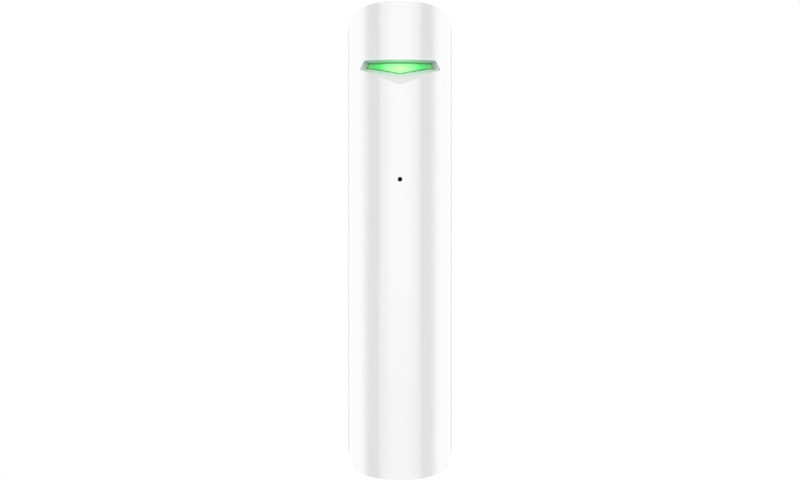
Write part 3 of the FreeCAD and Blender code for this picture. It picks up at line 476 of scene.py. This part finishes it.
# Circuit board. Glass laminate with a green solder mask, tinned pads in rows and thin tracks under the mask,
# held to two posts of the housing by small zinc-plated screws.
MASK_GREEN = (0.012, 0.085, 0.035)
DRIFT_GREEN = (0.015, 0.10, 0.05)
DRIFT_SHARE = 0.4
TRACK_GREEN = (0.03, 0.16, 0.06)
CELLS_PER_METRE = 310.0
TRACKS_PER_CELL = 5.0
TRACK_EDGE = (0.3, 0.38)
TINNED_PAD = (0.62, 0.60, 0.56)
PADS_PER_METRE = 620.0
PAD_SCATTER = 0.35
PAD_EDGE = (0.16, 0.2)
BOARD_RELIEF = 0.00002
board_finish, tree, shader, place = open_material("board_green")
skin = effect(tree, grain_group, place, {"Grain size": 0.0003})
pads = add(tree, "TexVoronoi", {"Vector": place, "Scale": PADS_PER_METRE, "Randomness": PAD_SCATTER})
pad = faded(tree, pads.outputs["Distance"], *PAD_EDGE)
inputs = {"Vector": place, "Scale": CELLS_PER_METRE}
cells = add(tree, "TexVoronoi", inputs, distance="MANHATTAN", feature="F1")
rings = math_node(tree, "PINGPONG", times(tree, cells.outputs["Distance"], TRACKS_PER_CELL), 0.5)
track = ramped(tree, rings, *TRACK_EDGE)
mask = mixed(tree, track, MASK_GREEN, TRACK_GREEN)
mask = mixed(tree, times(tree, skin["Drift"], DRIFT_SHARE), mask, DRIFT_GREEN)
tree.links.new(mixed(tree, pad, mask, TINNED_PAD), shader.inputs["Base Color"])
tree.links.new(pad, shader.inputs["Metallic"])
roughen(tree, shader, 0.22, (skin["Grain"], 0.15))
emboss(tree, shader, math_node(tree, "MAXIMUM", track, pad), BOARD_RELIEF)
paint("circuit_board", board_finish)

# Rolled or drawn metal: fine lines along one direction and patches where the plating is duller
LINE_STRETCH = (1.0, 1.0, 0.06)
LINE_ROUGHER = 0.12
LINE_RELIEF = 0.000003
PATCHES_PER_METRE = 700.0
DULL_EDGE = (0.42, 0.66)
DULL_ROUGHER = 0.15
metal_group, taken, given = new_group(
    "Rolled metal",
    [("Vector", "Vector", None), ("Line size", "Float", 0.00008)],
    [("Line", "Float"), ("Dull", "Float")],
)
place = taken["Vector"]
per_metre = math_node(metal_group, "DIVIDE", 1.0, taken["Line size"])
drawn = add(metal_group, "Mapping", {"Vector": place, "Scale": LINE_STRETCH}).outputs[0]
line = add(metal_group, "TexNoise", {"Vector": drawn, "Scale": per_metre, "Detail": 3.0})
inputs = {"Vector": place, "Scale": PATCHES_PER_METRE, "Detail": 4.0, "Roughness": 0.65}
patches = add(metal_group, "TexNoise", inputs)
metal_group.links.new(line.outputs["Fac"], given["Line"])
metal_group.links.new(ramped(metal_group, patches.outputs["Fac"], *DULL_EDGE), given["Dull"])


def metal(name, bright, dull, roughness, line_size=0.00008):
    """A plated or drawn metal with its rolling lines and its duller patches."""
    finish, tree, shader, place = open_material(name)
    rolled = effect(tree, metal_group, place, {"Line size": line_size})
    tree.links.new(mixed(tree, rolled["Dull"], bright, dull), shader.inputs["Base Color"])
    shader.inputs["Metallic"].default_value = 1.0
    roughen(tree, shader, roughness, (rolled["Dull"], DULL_ROUGHER), (rolled["Line"], LINE_ROUGHER))
    emboss(tree, shader, rolled["Line"], LINE_RELIEF)
    return finish


screw_finish = metal("screw_steel", bright=(0.60, 0.61, 0.63), dull=(0.48, 0.49, 0.52), roughness=0.24)
paint("board_screws", screw_finish)

# Status light. A light-emitting diode in milky resin, soldered to the front of the board. It faces the stem
# of the light guide, which carries its light forward to the lens.
resin_finish = moulded(
    "led_resin", light=(0.80, 0.79, 0.70), shade=(0.74, 0.73, 0.63), roughness=0.2,
    grain_size=0.0002, grain_depth=0.000002, specks=0.01,
)
paint("status_led", resin_finish)

# Microphone. An electret capsule in a drawn aluminium can, held in a black rubber boot behind the sound hole,
# with a cloth membrane in front and two tinned pins to the board.
THREADS_PER_METRE = 1900.0
THREAD_RELIEF = 0.00004
CLOTH_DARK = (0.008, 0.008, 0.008)
CLOTH_LIGHT = (0.06, 0.06, 0.062)
capsule_finish = metal(
    "capsule_aluminium", bright=(0.78, 0.79, 0.80), dull=(0.66, 0.67, 0.68), roughness=0.22,
)
wire_finish = metal("tinned_wire", bright=(0.70, 0.69, 0.67), dull=(0.58, 0.57, 0.55), roughness=0.3)
boot_finish = moulded(
    "boot_rubber", light=(0.020, 0.020, 0.021), shade=(0.013, 0.013, 0.014), roughness=0.68,
    grain_size=0.00016, grain_depth=0.000008, specks=0.06,
)
cloth_finish, tree, shader, place = open_material("membrane_cloth")
warp = add(tree, "TexWave", {"Vector": place, "Scale": THREADS_PER_METRE}, bands_direction="X")
weft = add(tree, "TexWave", {"Vector": place, "Scale": THREADS_PER_METRE}, bands_direction="Z")
weave = times(tree, warp.outputs["Fac"], weft.outputs["Fac"])
tree.links.new(mixed(tree, weave, CLOTH_DARK, CLOTH_LIGHT), shader.inputs["Base Color"])
roughen(tree, shader, 0.9, (weave, -0.15))
emboss(tree, shader, weave, THREAD_RELIEF)
paint("microphone_capsule", capsule_finish)
paint("microphone_pins", wire_finish)
paint("microphone_boot", boot_finish)
paint("sound_membrane", cloth_finish)

# Radio. A tinned steel shield over the radio stage, and an antenna of stamped brass strip that stands on two
# bent legs near the top of the board.
shield_finish = metal(
    "shield_tin", bright=(0.70, 0.70, 0.68), dull=(0.56, 0.56, 0.55), roughness=0.28, line_size=0.00015,
)
brass_finish = metal(
    "antenna_brass", bright=(0.78, 0.60, 0.30), dull=(0.60, 0.44, 0.20), roughness=0.26, line_size=0.00012,
)
paint("radio_shield", shield_finish)
paint("antenna", brass_finish)

# Electronics. The processor in its black moulded package, a reservoir capacitor in an aluminium can, and a
# column of small ceramic capacitors with tinned ends.
CERAMIC_DARK = (0.30, 0.19, 0.10)
CERAMIC_LIGHT = (0.40, 0.27, 0.15)
CERAMIC_X = 0.0056
TINNED_END = (0.66, 0.65, 0.62)
TINNED_START = (0.00052, 0.00056)
package_finish = moulded(
    "chip_black", light=(0.030, 0.030, 0.031), shade=(0.022, 0.022, 0.023), roughness=0.5,
    grain_size=0.00006, grain_depth=0.000006, specks=0.02,
)
can_finish = metal("capacitor_can", bright=(0.74, 0.75, 0.77), dull=(0.60, 0.61, 0.64), roughness=0.3)
ceramic_finish, tree, shader, place = open_material("capacitor_tan")
skin = effect(tree, grain_group, place, {"Grain size": 0.0001})
beside = math_node(tree, "SUBTRACT", add(tree, "SeparateXYZ", {0: place}).outputs["X"], CERAMIC_X)
tinned = ramped(tree, math_node(tree, "ABSOLUTE", beside), *TINNED_START)
body = mixed(tree, skin["Grain"], CERAMIC_DARK, CERAMIC_LIGHT)
tree.links.new(mixed(tree, tinned, body, TINNED_END), shader.inputs["Base Color"])
tree.links.new(tinned, shader.inputs["Metallic"])
roughen(tree, shader, 0.3, (skin["Grain"], 0.2))
paint("processor_chip", package_finish)
paint("reservoir_capacitor", can_finish)
paint("chip_capacitors", ceramic_finish)

# Battery. A 17 mm lithium cell in a blue shrink sleeve that leaves its steel ends bare, between two contacts
# of nickel-plated spring sheet.
SLEEVE_TOP = (-0.0303, -0.0302)
SLEEVE_END = (-0.0629, -0.0628)
SLEEVE_DARK = (0.02, 0.05, 0.16)
SLEEVE_BLUE = (0.03, 0.07, 0.21)
SLEEVE_RELIEF = 0.00001
BARE_STEEL = (0.62, 0.61, 0.59)
cell_finish, tree, shader, place = open_material("cell_sleeve")
skin = effect(tree, grain_group, place, {"Grain size": 0.0009})
up = add(tree, "SeparateXYZ", {0: place}).outputs["Z"]
bare = math_node(tree, "MAXIMUM", ramped(tree, up, *SLEEVE_TOP), faded(tree, up, *SLEEVE_END))
sleeve = mixed(tree, skin["Drift"], SLEEVE_DARK, SLEEVE_BLUE)
tree.links.new(mixed(tree, bare, sleeve, BARE_STEEL), shader.inputs["Base Color"])
tree.links.new(bare, shader.inputs["Metallic"])
roughen(tree, shader, 0.2, (skin["Grain"], 0.1))
emboss(tree, shader, skin["Grain"], SLEEVE_RELIEF)
contact_finish = metal("contact_nickel", bright=(0.72, 0.69, 0.63), dull=(0.60, 0.57, 0.52), roughness=0.2)
paint("battery_cell", cell_finish)
paint("plus_contact", contact_finish)
paint("minus_contact", contact_finish)

# The studio has a pale floor below the sensor and an even white surround, a little brighter from above. The
# camera sees both as white.
FLOOR_Z = -0.17
FLOOR_SIZE = 1.2
FLOOR_WHITE = (0.88, 0.88, 0.88, 1.0)
FLOOR_ROUGHNESS = 0.9
FLOOR_LIFT = 0.25
WHITE = (1.0, 1.0, 1.0, 1.0)
bpy.ops.object.select_all(action="DESELECT")
bpy.ops.mesh.primitive_plane_add(size=FLOOR_SIZE, location=(0, 0, FLOOR_Z))
floor = bpy.context.object
floor.name = "floor"
bpy.ops.object.transform_apply(location=True, rotation=True, scale=True)
floor_finish, tree, shader, place = open_material("floor_white")
shader.inputs["Base Color"].default_value = FLOOR_WHITE
shader.inputs["Roughness"].default_value = FLOOR_ROUGHNESS
shader.inputs["Emission Color"].default_value = WHITE
rays = add(tree, "LightPath").outputs
tree.links.new(times(tree, rays["Is Camera Ray"], FLOOR_LIFT), shader.inputs["Emission Strength"])
floor.data.materials.append(floor_finish)

# The gloss mirrors a wide light in front and one at each side, with a dark gap between them. Their levels go
# by degrees from straight in front. Low down the front light is dimmer, as far round as a turn in radians.
# Straight above and below, the gloss mirrors the plain surround.
SURROUND_LEVEL = 0.97
MORE_FROM_ABOVE = 0.22
MIRRORED_GAIN = 6.0
MIRRORED_LIGHTS = (
    (0, 0.84), (12, 0.82), (24, 0.75), (34, 0.60), (44, 0.50), (50, 0.12), (74, 0.12), (86, 0.50),
    (98, 0.64), (106, 0.62), (118, 0.48), (132, 0.36), (150, 0.27), (168, 0.20), (180, 0.08),
)
DIMMER_BELOW = (0.0, 0.08)
DIMMER_IN_FRONT = (0.65, 0.85)
DIMMED_BY = 0.16
STEEP = (0.55, 0.85)


def blended(tree, share, first, second):
    """The first value where share is 0, the second where it is 1."""
    return add(tree, "Mix", {0: share, 2: first, 3: second}, data_type="FLOAT").outputs[0]


surround = bpy.data.worlds.new("surround")
bpy.context.scene.world = surround
surround.use_nodes = True
tree = surround.node_tree
tree.nodes.clear()
toward = add(tree, "SeparateXYZ", {0: add(tree, "TexCoord").outputs["Generated"]}).outputs
plain = math_node(tree, "MULTIPLY_ADD", toward["Z"], MORE_FROM_ABOVE, SURROUND_LEVEL)
turn = math_node(tree, "ABSOLUTE", math_node(tree, "ARCTAN2", toward["X"], times(tree, toward["Y"], -1.0)))
levels = [(degrees / 180.0, (level, level, level)) for degrees, level in MIRRORED_LIGHTS]
lights = colour_ramp(tree, math_node(tree, "DIVIDE", turn, math.pi), levels)
below = ramped(tree, times(tree, toward["Z"], -1.0), *DIMMER_BELOW)
dimmer = times(tree, below, faded(tree, turn, *DIMMER_IN_FRONT), -DIMMED_BY)
mirrored = times(tree, lights, MIRRORED_GAIN, math_node(tree, "ADD", dimmer, 1.0))
steep = ramped(tree, math_node(tree, "ABSOLUTE", toward["Z"]), *STEEP)
rays = add(tree, "LightPath").outputs
seen = blended(tree, rays["Is Glossy Ray"], plain, blended(tree, steep, mirrored, plain))
seen = blended(tree, rays["Is Camera Ray"], seen, 1.0)
back = add(tree, "Background", {"Color": WHITE, "Strength": seen})
out = add(tree, "OutputWorld")
tree.links.new(back.outputs[0], out.inputs[0])

# The camera stands level in front, half a metre from the wall plane, as high as the sensor's middle.
CAMERA_DISTANCE = 0.5
CAMERA_LENS = 115.0
CAMERA_SENSOR = 36.0
CAMERA_NEAR = 0.01
MIDDLE_Z = -0.0238
camera_data = bpy.data.cameras.new("camera")
camera_data.sensor_width = CAMERA_SENSOR
camera_data.lens = CAMERA_LENS
camera_data.clip_start = CAMERA_NEAR
camera = bpy.data.objects.new("camera", camera_data)
bpy.context.scene.collection.objects.link(camera)
camera.location = (0.0, -CAMERA_DISTANCE, MIDDLE_Z)
camera.rotation_euler = (math.pi / 2, 0.0, 0.0)
bpy.context.scene.camera = camera
bpy.context.scene.view_settings.view_transform = "Standard"
